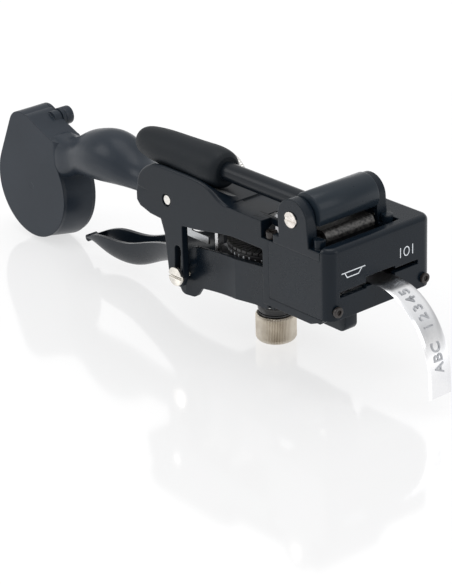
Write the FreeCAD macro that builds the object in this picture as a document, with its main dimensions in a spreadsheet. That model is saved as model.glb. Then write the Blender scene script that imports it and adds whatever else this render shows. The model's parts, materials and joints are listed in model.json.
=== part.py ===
"""Hand-held embossing label maker for metal tape, as a parametric FreeCAD document.

Lengths are millimetres.  +X points forward, out of the nose where the tape leaves, +Y to the
user's left and +Z up.  The origin is on the surface that the tool stands on, under the middle of
its length.  Every piece is drawn from one datum, the point where the tape leaves the nose plate;
the datum stands datum_x forward of the origin and datum_z above it.
"""
import FreeCAD, Part
import math
import os
import re

import Sketcher

from FreeCAD import Placement, Rotation, Vector

SIZES = {
    # the datum, seen from the origin
    "datum_x": 106.59,
    "datum_z": 46.6,
    # housing
    "body_half": 28.0,
    "side_wall": 3.0,
    "top_level": 21.2,
    "rear_x": -117.0,
    "cover_depth": 35.0,
    "cover_wall": 2.0,
    "cover_bottom": -10.4,
    "cover_top": 19.6,
    "screw_near_y": -24.3,
    "screw_far_y": 23.0,
    "screw_z": -6.4,
    "cheek_half": 25.8,
    "cheek_wall": 2.6,
    "base_bottom": -14.0,
    "seat_level": 14.2,
    # tape
    "tape_width": 12.0,
    "tape_thick": 0.25,
    # squeeze lever
    "jaw_pivot_x": -26.0,
    "jaw_pivot_z": -18.5,
    "jaw_pin_radius": 2.0,
    "jaw_inner": 20.2,
    "jaw_outer": 22.8,
    "strap_screw_x": -91.8,
    "strap_screw_z": -18.6,
    "strap_shank": 1.6,
    "strap_thread": 1.4,
    # character wheel
    "wheel_x": -63.0,
    "wheel_radius": 19.5,
    "wheel_top": -0.6,
    "wheel_bottom": -4.6,
    "axle_radius": 3.0,
    "sleeve_radius": 6.0,
    "knob_radius": 8.6,
    "knob_height": 12.1,
    # feed wheel
    "feed_x": -97.6,
    "feed_z": 13.3,
    "feed_radius": 12.6,
    "feed_half": 7.0,
    "feed_pin_radius": 2.0,
    "pin_far_y": 12.3,
    # cutter lever
    "hinge_x": -21.5,
    "hinge_z": 27.0,
    "shaft_radius": 3.0,
    "hub_x": -18.3,
    "hub_z": 29.4,
    "hub_radius": 8.0,
    "ear_thick": 5.0,
    "far_ear_y": 9.5,
    "rod_radius": 3.9,
    "rod_y": -18.5,
    "rod_z": 31.2,
    "grip_front_x": -69.8,
    "grip_rear_x": -124.2,
    "rod_rear_x": -118.0,
    # ram
    "ram_top": 22.2,
    "ram_near_y": -19.5,
    "ram_far_y": 6.5,
    # magazine
    "reel_x": -219.2,
    "reel_z": -20.1,
    "reel_radius": 18.0,
    "cup_radius": 24.2,
    "cup_rim_radius": 26.5,
    "cup_near_y": -8.3,
    "cup_far_y": 6.5,
    "lid_thick": 1.6,
    "cup_wall": 1.4,
    "boss_x": -224.8,
    "boss_z": 5.4,
    "boss_radius": 8.6,
    "knuckle_x": -216.0,
    "knuckle_z": 9.8,
    "knuckle_radius": 4.2,
    "spindle_radius": 4.0,
    # running clearance
    "running_gap": 0.05,
}

doc = FreeCAD.newDocument("EmbossingLabelMaker")
sheet = doc.addObject("Spreadsheet::Sheet", "Sizes")
for row, (alias, value) in enumerate(SIZES.items(), start=1):
    sheet.set(f"A{row}", alias)
    sheet.set(f"B{row}", str(value))
    sheet.setAlias(f"B{row}", alias)
doc.recompute()

NODES = []
TURN = {
    "X": Rotation(Vector(0, 1, 0), 90),
    "Y": Rotation(Vector(1, 0, 0), -90),
    "Z": Rotation(),
}


# ---------------------------------------------------------------- helpers

def size(alias):
    """The number in a cell of the sheet."""
    return float(sheet.get(alias))


def bind(obj, prop, formula):
    """Bind a property to a formula written in the aliases of the sheet."""
    obj.setExpression(prop, re.sub(r"\b([a-z]+(?:_[a-z]+)+)\b", r"Sizes.\1", str(formula)))


def place(obj, x=0, y=0, z=0):
    """Bind where an object stands, seen from the datum."""
    bind(obj, "Placement.Base.x", x)
    bind(obj, "Placement.Base.y", y)
    bind(obj, "Placement.Base.z", z)
    return obj


def box(name, x, y, z):
    """A block between three pairs of formulas."""
    obj = doc.addObject("Part::Box", name)
    bind(obj, "Length", f"({x[1]}) - ({x[0]})")
    bind(obj, "Width", f"({y[1]}) - ({y[0]})")
    bind(obj, "Height", f"({z[1]}) - ({z[0]})")
    return place(obj, x[0], y[0], z[0])


def rod(name, axis, radius, span, centre):
    """A cylinder along one axis, over a span, with its centre line through two other formulas."""
    obj = doc.addObject("Part::Cylinder", name)
    bind(obj, "Radius", radius)
    bind(obj, "Height", f"({span[1]}) - ({span[0]})")
    obj.Placement = Placement(Vector(), TURN[axis])
    spots = {
        "X": (span[0], centre[0], centre[1]),
        "Y": (centre[0], span[0], centre[1]),
        "Z": (centre[0], centre[1], span[0]),
    }
    return place(obj, *spots[axis])


def cone(name, axis, radii, span, centre):
    """A cone along one axis, from the first radius to the second."""
    obj = doc.addObject("Part::Cone", name)
    bind(obj, "Radius1", radii[0])
    bind(obj, "Radius2", radii[1])
    bind(obj, "Height", f"({span[1]}) - ({span[0]})")
    obj.Placement = Placement(Vector(), TURN[axis])
    spots = {
        "X": (span[0], centre[0], centre[1]),
        "Y": (centre[0], span[0], centre[1]),
        "Z": (centre[0], centre[1], span[0]),
    }
    return place(obj, *spots[axis])


def fuse(name, *pieces):
    """Several solids made one."""
    obj = doc.addObject("Part::MultiFuse", name)
    obj.Shapes = list(pieces)
    obj.Refine = True
    return obj


def cut(name, base, *tools):
    """A solid with others taken away."""
    obj = doc.addObject("Part::Cut", name)
    obj.Base = base
    obj.Tool = tools[0] if len(tools) == 1 else fuse(name + "_tools", *tools)
    obj.Refine = True
    return obj


def group(name, *pieces):
    """Separate solids kept in one node."""
    obj = doc.addObject("Part::Compound", name)
    obj.Links = list(pieces)
    return obj


def shaped(name, shape):
    """A piece whose shape is computed here from the sheet's sizes."""
    obj = doc.addObject("Part::Feature", name)
    obj.Shape = shape
    return obj


def corner_arc(before, corner, after, radius):
    """The ends and middle of the arc that rounds a corner of an outline."""
    back = (before - corner).normalize()
    ahead = (after - corner).normalize()
    half = back.getAngle(ahead) / 2
    reach = radius / math.tan(half)
    bisector = (back + ahead).normalize()
    middle = corner + bisector * (radius / math.sin(half) - radius)
    return corner + back * reach, middle, corner + ahead * reach


def outline_edges(points):
    """Lines through the points of a closed outline, with an arc where a third number is given."""
    flat = [Vector(p[0], p[1], 0) for p in points]
    radii = [p[2] if len(p) > 2 else 0 for p in points]
    arcs = []
    for i, corner in enumerate(flat):
        if radii[i]:
            arcs.append(corner_arc(flat[i - 1], corner, flat[(i + 1) % len(flat)], radii[i]))
        else:
            arcs.append((corner, None, corner))
    edges = []
    for i, (start, middle, end) in enumerate(arcs):
        if middle is not None:
            edges.append(Part.Arc(start, middle, end))
        following = arcs[(i + 1) % len(arcs)][0]
        if end.distanceToPoint(following) > 1e-6:
            edges.append(Part.LineSegment(end, following))
    return edges


def profile(name, points, y):
    """A sketch in an upright plane that faces sideways: first number forward, second up."""
    sketch = doc.addObject("Sketcher::SketchObject", name)
    sketch.Placement = Placement(Vector(), Rotation(Vector(1, 0, 0), 90))
    sketch.addGeometry(outline_edges(points), False)
    bind(sketch, "Placement.Base.y", y)
    return sketch


def side_prism(name, points, y):
    """An outline seen from the side, pushed from one y to another."""
    obj = doc.addObject("Part::Extrusion", name)
    obj.Base = profile(name + "_profile", points, y[0])
    obj.DirMode = "Custom"
    obj.Dir = Vector(0, 1, 0)
    bind(obj, "LengthFwd", f"({y[1]}) - ({y[0]})")
    obj.Solid = True
    return obj


def round_edges(name, base, radius, choose):
    """Round the edges of a piece that a test picks out."""
    doc.recompute()
    obj = doc.addObject("Part::Fillet", name)
    obj.Base = base
    picked = [i for i, edge in enumerate(base.Shape.Edges, start=1) if choose(edge)]
    obj.Edges = [(i, radius, radius) for i in picked]
    return obj


def runs_along(edge, axis):
    """Whether an edge is straight and lies along an axis."""
    if not isinstance(edge.Curve, (Part.Line, Part.LineSegment)):
        return False
    ends = edge.Vertexes[-1].Point - edge.Vertexes[0].Point
    return ends.Length > 0 and abs(ends.normalize().dot(axis)) > 0.999


def node(label, obj):
    """Stand a finished piece on the datum and keep it for the hand-in."""
    plain = obj.TypeId in ("Part::Box", "Part::Cylinder", "Part::Cone")
    piece = group(label + "_piece", obj) if plain else obj
    piece.Label = label
    place(piece, "datum_x", piece.Placement.Base.y, "datum_z")
    NODES.append(piece)
    return piece


def hull_outline(first, first_radius, second, second_radius):
    """The wire around two circles seen from the side: a drop-shaped outline."""
    gap = second - first
    lean = math.atan2(gap.z, gap.x)
    spread = math.acos((first_radius - second_radius) / gap.Length)

    def spot(centre, radius, angle):
        return centre + Vector(math.cos(angle), 0, math.sin(angle)) * radius

    high = lean + spread
    low = lean - spread
    far_side = Part.Arc(
        spot(first, first_radius, high),
        spot(first, first_radius, lean + math.pi),
        spot(first, first_radius, low),
    )
    near_side = Part.Arc(
        spot(second, second_radius, low),
        spot(second, second_radius, lean),
        spot(second, second_radius, high),
    )
    sides = [
        Part.LineSegment(spot(first, first_radius, low), spot(second, second_radius, low)),
        Part.LineSegment(spot(second, second_radius, high), spot(first, first_radius, high)),
    ]
    edges = [far_side, sides[0], near_side, sides[1]]
    return Part.Wire([edge.toShape() for edge in edges])


def drop_outline(cup_radius, top_radius):
    """A drop-shaped wire around the reel's axis and the boss above it."""
    return hull_outline(
        Vector(size("reel_x"), 0, size("reel_z")),
        cup_radius,
        Vector(size("boss_x"), 0, size("boss_z")),
        top_radius,
    )


def drop_prism(name, cup_radius, top_radius, y):
    """A drop-shaped plate around the reel's axis and the boss above it."""
    face = shaped(name + "_face", Part.Face(drop_outline(cup_radius, top_radius)))
    bind(face, "Placement.Base.y", y[0])
    obj = doc.addObject("Part::Extrusion", name)
    obj.Base = face
    obj.DirMode = "Custom"
    obj.Dir = Vector(0, 1, 0)
    bind(obj, "LengthFwd", f"({y[1]}) - ({y[0]})")
    obj.Solid = True
    return obj


def ellipse_section(x, low, high, half, side=0.0, power=2.0):
    """An upright closed curve at one station of a lengthwise form: round, or squarer."""
    middle = Vector(x, side, (low + high) / 2)
    tall = (high - low) / 2

    def reach(part):
        return math.copysign(abs(part) ** (2 / power), part)

    ring = []
    for step in range(16):
        angle = math.radians(360 * step / 16)
        ring.append(
            middle + Vector(0, half * reach(math.cos(angle)), tall * reach(math.sin(angle)))
        )
    curve = Part.BSplineCurve()
    curve.interpolate(ring, PeriodicFlag=True)
    return Part.Wire([curve.toShape()])


def trough_section(x, low, rim, half):
    """A half-round section with its flat side up, at one station along the trigger."""
    left = Vector(x, -half, rim)
    right = Vector(x, half, rim)
    depth = rim - low
    dish = []
    for step in range(9):
        angle = math.radians(180 * step / 8)
        dish.append(Vector(x, -half * math.cos(angle), rim - depth * math.sin(angle)))
    curve = Part.BSplineCurve()
    curve.interpolate(dish)
    return Part.Wire([curve.toShape(), Part.LineSegment(right, left).toShape()])


# ---------------------------------------------------------------- housing

def hump_outline():
    """The housing seen from the side, without the arch that is cut out of its cheeks."""
    top = size("top_level")
    rear = size("rear_x")
    crown = Part.BSplineCurve()
    crown.interpolate(
        [
            Vector(-60.5, 0, top + 0.6),
            Vector(-67.0, 0, top + 0.9),
            Vector(-79.0, 0, top + 1.3),
            Vector(-95.0, 0, top + 1.0),
            Vector(-109.0, 0, top - 0.8),
            Vector(rear, 0, top - 3.4),
        ]
    )
    corners = [
        Vector(rear, 0, top - 3.4),
        Vector(rear, 0, 8.3),
        Vector(-115.0, 0, 6.2),
        Vector(-108.4, 0, 4.4),
        Vector(-101.8, 0, 4.0),
        Vector(-99.5, 0, -2.1),
        Vector(-97.6, 0, -19.0),
        Vector(-96.0, 0, -23.4),
        Vector(-90.6, 0, -23.4),
        Vector(-88.4, 0, -19.0),
        Vector(-38.6, 0, -19.0),
        Vector(-38.6, 0, size("base_bottom")),
        Vector(-35.0, 0, size("base_bottom")),
        Vector(-35.0, 0, 12.0),
        Vector(-60.5, 0, 12.0),
        Vector(-60.5, 0, top + 0.6),
    ]
    sides = [Part.LineSegment(a, b).toShape() for a, b in zip(corners, corners[1:])]
    return Part.Wire([crown.toShape()] + sides)


def near_hump(name):
    """Raised near side of the housing, hollowed along its top for the cutter lever's grip."""
    crest = Part.BSplineCurve()
    crest.interpolate([
        Vector(-56.5, 0, 21.1), Vector(-61.3, 0, 21.7), Vector(-65.1, 0, 23.0),
        Vector(-68.8, 0, 25.0), Vector(-73.5, 0, 26.9), Vector(-80.0, 0, 27.7),
        Vector(-95.0, 0, 27.7), Vector(-104.5, 0, 27.1), Vector(-110.7, 0, 24.6),
        Vector(-115.2, 0, 20.6), Vector(size("rear_x"), 0, 15.0),
    ])
    below = [Vector(size("rear_x"), 0, 15.0), Vector(-113.0, 0, 14.5), Vector(-56.5, 0, 14.5),
             Vector(-56.5, 0, 21.1)]
    sides = [Part.LineSegment(a, b).toShape() for a, b in zip(below, below[1:])]
    face = Part.Face(Part.Wire([crest.toShape()] + sides))
    face.translate(Vector(0, -size("body_half"), 0))
    block = shaped(f"{name}_block", face.extrude(Vector(0, size("body_half") - 19.0, 0)))
    soft = round_edges(
        f"{name}_soft", block, 1.1,
        lambda edge: isinstance(edge.Curve, Part.BSplineCurve) and edge.CenterOfMass.y < -27,
    )
    nest = rod(f"{name}_nest", "X", 8.9, (-130.0, -50.0), ("rod_y", "rod_z"))
    return cut(name, soft, nest)


def strap_slot():
    """Outline of the slot in a strap, wide enough for the shoulder screw's slight arc."""
    return [(-93.9, -21.0, 2.0), (-93.3, -5.0, 1.9), (-89.3, -5.0, 1.9), (-89.7, -21.0, 2.0)]


def far_shoulder(name, x, drop):
    """What is taken off the housing above its sloping far shoulder, or above a line below it."""
    corners = [(-20.0, 36.0), (40.0, 0.0), (40.0, 60.0), (-20.0, 60.0)]
    points = [Vector(x[0], y, z - drop) for y, z in corners]
    face = Part.Face(Part.makePolygon(points + points[:1]))
    return shaped(name, face.extrude(Vector(x[1] - x[0], 0, 0)))


def make_main_frame():
    """Cast housing: cheeks with windows and straps, crowned roof and the nose's inner block."""
    face = shaped("frame_face", Part.Face(hump_outline()))
    bind(face, "Placement.Base.y", "-body_half")
    shell = doc.addObject("Part::Extrusion", "frame_shell")
    shell.Base = face
    shell.DirMode = "Custom"
    shell.Dir = Vector(0, 1, 0)
    bind(shell, "LengthFwd", "2 * body_half")
    shell.Solid = True

    def roof_edge(edge):
        centre = edge.CenterOfMass
        outer = abs(abs(centre.y) - size("body_half")) < 0.01
        return outer and isinstance(edge.Curve, Part.BSplineCurve)

    crowned = round_edges("frame_crowned", shell, 6.0, roof_edge)
    deck = box("frame_deck", (-60.5, -35.0), ("-body_half", "body_half"), (12.0, "top_level"))
    covered = fuse("frame_covered", crowned, deck, near_hump("frame_hump"))
    sloped = cut("frame_sloped", covered, far_shoulder("frame_shoulder", (-130.0, -40.0), 0.0))

    window = side_prism(
        "frame_window",
        [
            (-88.4, -30.0),
            (-88.4, 4.7, 1.0),
            (-79.5, 5.6, 30.0),
            (-65.5, 8.1, 30.0),
            (-57.0, 9.3, 20.0),
            (-38.6, 9.4, 1.2),
            (-38.6, -30.0),
        ],
        ("-body_half - 1", 0),
    )
    far_window = side_prism(
        "frame_far_window",
        [(-88.4, -30.0), (-88.4, 4.2, 1.0), (-38.6, 4.2, 1.2), (-38.6, -30.0)],
        (0, "body_half + 1"),
    )
    cavity = side_prism(
        "frame_cavity",
        [
            (-111.2, 18.4 - 2.4),
            (-111.2, -30.0),
            (-30.0, -30.0),
            (-30.0, 18.2),
            (-60.0, 18.2),
            (-79.0, 18.9),
            (-98.0, 18.2),
        ],
        ("side_wall - body_half", "body_half - side_wall"),
    )
    cavity_round = round_edges(
        "frame_cavity_round",
        cavity,
        4.0,
        lambda edge: edge.CenterOfMass.z > 15
        and edge.CenterOfMass.x < -60
        and abs(abs(edge.CenterOfMass.y) - 25) < 0.01
        and edge.Length > 5,
    )
    cavity_sloped = cut("frame_cavity_sloped", cavity_round,
                        far_shoulder("frame_inner_shoulder", (-130.0, -43.0), 3.0))
    rear_slot = box("frame_tape_slot", (-125, -105), (-6.6, 6.6), (-1.0, 1.2))
    wheel_slot = box("frame_wheel_slot", (-111.2, -84), (-8, 8), (10, 40))
    ratchet_relief = box("frame_ratchet_relief", (-105.2, -90.0), (-11.2, -7.9), (10, 20.6))
    lens_seat = box("frame_lens_seat", (-42.6, -36.4), (-21.4, -16.6), (10, 40))
    near_slot = side_prism(
        "frame_near_slot",
        strap_slot(),
        ("-body_half - 1", "side_wall - body_half + 1"),
    )
    far_slot = side_prism(
        "frame_far_slot",
        strap_slot(),
        ("body_half - side_wall - 1", "body_half + 1"),
    )
    pin_bore = rod("frame_pin_bore", "Y", "feed_pin_radius", ("-body_half", "pin_far_y + 0.1"),
                   ("feed_x", "feed_z"))
    pin_recess = rod("frame_pin_recess", "Y", 2.8, ("-body_half - 1", "0.8 - body_half"),
                     ("feed_x", "feed_z"))
    pin_lug = box("frame_pin_lug", (-101.8, -93.4), (8.6, 12.6), (9.3, 16.4))
    shell_cut = cut("frame_open", sloped, window, far_window, cavity_sloped, wheel_slot,
                    ratchet_relief, lens_seat)
    lugged = fuse("frame_lugged", shell_cut, pin_lug)
    bored = cut("frame_bored", lugged, near_slot, far_slot, pin_bore, pin_recess)

    nose_cheeks = []
    for name, low, high in (
        ("near", "-cheek_half", "cheek_wall - cheek_half"),
        ("far", "cheek_half - cheek_wall", "cheek_half"),
    ):
        nose_cheeks.append(
            side_prism(
                f"frame_{name}_cheek",
                [(-37.0, -14.0), (-37.0, 14.0), (-3.0, 14.0), (-3.0, -10.6), (-8.0, -14.0)],
                (low, high),
            )
        )
    floor = side_prism(
        "frame_floor",
        [(-38.6, -10.6), (-38.6, -12.0), (-36.0, -14.0), (-11.0, -14.0, 3.0),
         (-5.0, -11.6, 2.0), (-4.4, -10.6)],
        ("-body_half + 0.01", "body_half - 0.01"),
    )
    floor_gap = box("frame_floor_gap", (-40, -32.2), ("-jaw_outer - 0.5", "jaw_outer + 0.5"),
                    (-20, -9))
    floor_open = cut("frame_floor_open", floor, floor_gap)
    corner_cut = group(
        "frame_screw_corners",
        box("frame_corner_near", (-39.2, -29), ("-body_half - 1", -22.2), ("seat_level", 30)),
        box("frame_corner_far", (-39.2, -29), (22.2, "body_half + 1"), ("seat_level", 30)),
    )
    rear_block = box("frame_rear_block", ("rear_x", -111.2), (-13.2, 13.2), (-3.0, 10.0))
    rear_keel = box("frame_rear_keel", ("rear_x", -111.2), (-9.4, 9.4), (-6.2, -3.0))
    joined = fuse("frame_joined", bored, nose_cheeks[0], nose_cheeks[1], floor_open, rear_block,
                  rear_keel)
    handle_bores = group(
        "frame_handle_bores",
        *(rod(f"frame_handle_bore_{i}", "X", 1.6, (-118, -100), (y, 5.0))
          for i, y in enumerate((-10.4, 10.4)))
    )
    return cut("main_frame_solid", joined, corner_cut, handle_bores, rear_slot)


def make_front_cover():
    """Drawn steel box over the nose, open behind and below, with three tape mouths."""
    body = doc.addObject("PartDesign::Body", "front_cover_body")
    plane = next(o for o in body.Origin.OriginFeatures if o.Role == "XY_Plane")
    sketch = body.newObject("Sketcher::SketchObject", "cover_plan")
    sketch.AttachmentSupport = [(plane, "")]
    sketch.MapMode = "FlatFace"
    sketch.addGeometry(
        outline_edges(
            [
                (-size("cover_depth"), -size("body_half")),
                (0.0, -size("body_half"), 5.0),
                (0.0, size("body_half"), 5.0),
                (-size("cover_depth"), size("body_half")),
            ]
        ),
        False,
    )
    pad = body.newObject("PartDesign::Pad", "cover_pad")
    pad.Profile = sketch
    bind(pad, "Length", "cover_top - cover_bottom")
    bind(sketch, "AttachmentOffset.Base.z", "cover_bottom")
    doc.recompute()
    rim = [
        f"Edge{i}"
        for i, edge in enumerate(pad.Shape.Edges, start=1)
        if edge.CenterOfMass.z > size("cover_top") - 0.01 and edge.CenterOfMass.x > -34
    ]
    soft = body.newObject("PartDesign::Fillet", "cover_soft_rim")
    soft.Base = (pad, rim)
    soft.Radius = 2.4
    body.Tip = soft
    doc.recompute()

    hollow = box("cover_hollow", ("-cover_depth - 1", -2.6),
                 ("cover_wall - body_half", "body_half - cover_wall"),
                 ("cover_bottom - 1", "cover_top - 3"))
    seat = box("cover_seat", ("-cover_depth - 1", -5.2),
               ("-body_half - 1", "far_ear_y + ear_thick + 0.2"), ("seat_level", 30))
    screw_corner = box("cover_far_corner", ("-cover_depth - 1", -29), (22.4, "body_half + 1"),
                       ("seat_level", 30))
    mouths = [
        box("cover_mouth_tab", (-4, 1), (-22.6, -8.4), (-1.2, 1.3)),
        box("cover_mouth_tape", (-4, 1), (-8.5, 7.2), (-0.6, 3.6)),
        box("cover_mouth_punch", (-4, 1), (7.1, 19.9), (0.5, 2.5)),
    ]
    screw_holes = group(
        "cover_screw_holes",
        rod("cover_screw_hole_near", "X", 1.5, (-4, 1), ("screw_near_y", "screw_z")),
        rod("cover_screw_hole_far", "X", 1.5, (-4, 1), ("screw_far_y", "screw_z")),
    )
    return cut("front_cover_solid", body, hollow, seat, screw_corner, *mouths, screw_holes)


def ear(name, y):
    """One upright ear of the bracket, round at its top."""
    return side_prism(
        f"{name}_plate",
        [
            (-28.6, 14.2),
            (-29.6, 35.4, 8.3),
            (-13.2, 35.4, 8.0),
            (-12.2, 22.0, 8.0),
            (-11.5, 14.2),
        ],
        y,
    )


def make_ear_bracket():
    """Yoke that carries the cutter lever: two ears on a low base with an open middle."""
    near = ear("near_ear", ("-body_half", "ear_thick - body_half"))
    far = ear("far_ear", ("far_ear_y", "far_ear_y + ear_thick"))
    base = box("bracket_base", (-32.2, -5.4), ("-body_half", "far_ear_y + ear_thick"),
               ("seat_level", 17.6))
    opening = box("bracket_opening", (-30.2, -8.0),
                  ("ear_thick - body_half", "far_ear_y"), (10, 25))
    bore = rod("bracket_bore", "Y", "shaft_radius", ("-body_half - 1", 20), ("hinge_x", "hinge_z"))
    feet = group(
        "bracket_feet",
        rod("bracket_foot_near", "Z", 2.4, ("seat_level", 21.4), (-9.4, -24.2)),
        rod("bracket_foot_far", "Z", 2.4, ("seat_level", 21.4), (-9.4, "far_ear_y + 2.6")),
    )
    set_pin = rod("bracket_set_pin_bore", "Y", 0.6, (9, 12.5), (-14.6, 20.4))
    whole = fuse("bracket_whole", near, far, base, feet)
    return cut("ear_bracket_solid", whole, opening, bore, set_pin)


def make_handle():
    """Cast handle with its palm swell, and the drum-shaped cup that holds the tape reel."""
    stations = [
        (-117.0, -6.0, 9.6, 9.4),
        (-119.5, -5.9, 9.6, 9.2),
        (-123.0, -5.7, 9.5, 8.9),
        (-128.0, -5.4, 9.4, 8.6),
        (-133.0, -4.8, 9.3, 8.3),
        (-138.0, -4.4, 9.4, 8.2),
        (-146.0, -4.2, 10.0, 8.4),
        (-151.5, -4.3, 12.4, 9.6),
        (-157.0, -4.7, 15.6, 11.0),
        (-163.5, -5.4, 17.8, 12.0),
        (-169.5, -6.2, 18.0, 12.2),
        (-176.0, -6.9, 16.6, 11.6),
        (-183.0, -7.5, 14.0, 10.2),
        (-189.5, -8.4, 10.2, 8.6, -0.3),
        (-196.0, -11.0, 7.4, 7.7, -0.8, 2.8),
        (-200.0, -12.8, 7.3, 7.4, -0.8, 3.4),
        (-204.0, -14.0, 7.4, 7.1, -0.7, 3.6),
    ]
    grip = Part.makeLoft([ellipse_section(*s) for s in stations], True, False)
    swell = shaped("handle_swell", grip)
    neck = side_prism(
        "handle_neck",
        [(-226.0, 13.0), (-219.5, 13.6, 6.0), (-209.4, 9.0, 20.0), (-202.0, 6.2),
         (-197.8, 5.6), (-196.8, -13.0), (-214.0, -18.0)],
        ("cup_near_y", "cup_far_y"),
    )
    neck_round = round_edges("handle_neck_round", neck, 3.6,
                             lambda edge: edge.CenterOfMass.x > -198 and edge.Length > 16)
    cup = drop_prism("handle_cup", size("cup_radius"), size("boss_radius"),
                     ("cup_near_y", "cup_far_y"))
    flare = cone("handle_cup_flare", "Y", ("cup_radius - 0.3", "cup_rim_radius"),
                 ("cup_near_y", "cup_far_y"), ("reel_x", "reel_z"))
    lug = rod("handle_knuckle_lug", "Y", "knuckle_radius - 0.5", (2.6, "cup_far_y"),
              ("knuckle_x", "knuckle_z"))
    relief = rod("handle_lid_relief", "Y", "cup_rim_radius", ("cup_far_y + 0.05", 14),
                 ("reel_x", "reel_z"))
    well = rod("handle_well", "Y", "cup_radius - cup_wall", ("cup_near_y + cup_wall", 10),
               ("reel_x", "reel_z"))
    throat = box("handle_throat", (-212, -190), (-6.4, 6.4), (-3.4, 1.2))
    channel = box("handle_channel", (-195, -110), (-6.4, 6.4), (-0.9, 1.0))
    spindle = rod("handle_spindle_bore", "Y", 1.5, ("cup_near_y + 0.25", 0), ("reel_x", "reel_z"))
    pivot = rod("handle_lid_bore", "Y", 1.5, (2, 10), ("knuckle_x", "knuckle_z"))
    screws = group(
        "handle_screw_bores",
        *(rod(f"handle_screw_bore_{i}", "X", 1.5, (-125, -110), (y, 5.0))
          for i, y in enumerate((-10.4, 10.4)))
    )
    flange = box("handle_flange", (-120.0, "rear_x"), (-13.2, 13.2), (-3.0, 9.0))
    relieved = cut("handle_swell_relieved", swell, relief)
    whole = fuse("handle_whole", relieved, neck_round, cup, flare, lug, flange)
    bowl = cut("handle_bowl", whole, well)
    slotted = cut("handle_slotted", cut("handle_open", bowl, throat), channel)
    return cut("handle_solid", slotted, spindle, pivot, screws)


# ---------------------------------------------------------------- nose mechanism

def make_die_plate():
    """Hardened plate under the tape, slotted for the blade, the tab former and the punch."""
    block = box("die_block", (-33.0, -3.2), (-19.6, 19.6), (-9.6, -1.3))
    slots = group(
        "die_slots",
        box("die_blade_slot", (-13.0, -11.4), (-7.0, 7.0), (-7.5, 0)),
        box("die_tab_slot", (-18.2, -10.8), (-18.6, -9.4), (-7.5, 0)),
        rod("die_punch_hole", "Z", 1.75, (-12, 0), (-14.0, 13.6)),
    )
    wells = group(
        "die_spring_wells",
        rod("die_well_near", "Z", 3.0, (-8.6, 0), (-21.8, -15.4)),
        rod("die_well_far", "Z", 3.0, (-8.6, 0), (-21.8, 15.4)),
    )
    return cut("die_plate_solid", block, slots, wells)


def make_stripper_plate():
    """Plate above the tape that guides the cutting tools and strips the tape off them."""
    block = box("stripper_block", (-33.0, -3.2), (-23.0, 23.0), (3.8, 5.8))
    holes = group(
        "stripper_holes",
        box("stripper_blade_slot", (-13.0, -11.4), (-7.0, 7.0), (0, 10)),
        box("stripper_tab_slot", (-18.2, -10.8), (-18.6, -9.4), (0, 10)),
        rod("stripper_punch_hole", "Z", 1.75, (0, 10), (-14.0, 13.6)),
        rod("stripper_spring_near", "Z", 3.0, (0, 10), (-21.8, -15.4)),
        rod("stripper_spring_far", "Z", 3.0, (0, 10), (-21.8, 15.4)),
    )
    return cut("stripper_plate_solid", block, holes)


def make_wheel_bridge():
    """Fixed arm behind the nose that carries the character wheel's sleeve."""
    arm = box("bridge_arm", (-82.0, -33.0), (-12.0, 12.0), (-9.6, -6.4))
    sleeve = rod("bridge_sleeve", "Z", "sleeve_radius", (-30.0, -6.4), ("wheel_x", 0))
    window = box("bridge_window", (-52.5, -38.0), (-7.0, 7.0), (-12, 0))
    bore = rod("bridge_bore", "Z", "axle_radius + running_gap", (-35, 0), ("wheel_x", 0))
    seat = rod("bridge_spring_seat", "Z", 4.2, (-12, -7.6), (-76.0, 0))
    return cut("wheel_bridge_solid", fuse("bridge_whole", arm, sleeve), window, bore, seat)


def make_upper_anvil():
    """Post under the roof whose hard pad backs the tape where characters are pressed."""
    post = box("anvil_post", (-52.0, -43.5), (-9.0, 3.0), (3.0, 18.2))
    pad = box("anvil_pad", (-50.5, -43.5), (-6.5, 6.5), (0.45, 3.0))
    return fuse("upper_anvil_solid", post, pad)


def make_tape_guide():
    """Folded steel tray that carries the tape under the feed wheel."""
    tray = box("guide_tray", (-110.8, -90.0), (-8.4, 8.4), (-1.3, -0.25))
    lips = group(
        "guide_lips",
        box("guide_lip_near", (-110.8, -90.0), (-8.4, -7.6), (-0.25, 2.0)),
        box("guide_lip_far", (-110.8, -90.0), (7.6, 8.4), (-0.25, 2.0)),
    )
    leg = box("guide_leg", (-109.4, -105.6), (-8.4, -7.6), (-11.4, -0.25))
    foot = box("guide_foot", (-109.4, -95.0), (-8.4, -7.6), (-11.4, -8.2))
    return fuse("tape_guide_solid", tray, lips, leg, foot)


def socket_screw(name, axis, head_radius, head, shank_radius, shank, centre, socket):
    """A cap screw with a hexagon socket sunk in its head."""
    cap = rod(f"{name}_cap", axis, head_radius, head, centre)
    stem = rod(f"{name}_stem", axis, shank_radius, shank, centre)
    hexagon = doc.addObject("Part::Prism", f"{name}_socket")
    hexagon.Polygon = 6
    bind(hexagon, "Circumradius", f"{head_radius} * 0.52")
    bind(hexagon, "Height", f"({socket[1]}) - ({socket[0]})")
    hexagon.Placement = Placement(Vector(), TURN[axis])
    spots = {
        "X": (socket[0], centre[0], centre[1]),
        "Z": (centre[0], centre[1], socket[0]),
    }
    place(hexagon, *spots[axis])
    return cut(name, fuse(f"{name}_blank", cap, stem), hexagon)


def slotted_head(name, radius, span, slot_at, centre):
    """A flat slotted head across the tool, on the near or the far side."""
    disc = rod(f"{name}_disc", "Y", radius, span, centre)
    slot = box(
        f"{name}_slot",
        (f"({centre[0]}) - {radius} - 1", f"({centre[0]}) + {radius} + 1"),
        slot_at,
        (f"({centre[1]}) - 0.55", f"({centre[1]}) + 0.55"),
    )
    return cut(name, disc, slot)


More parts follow.
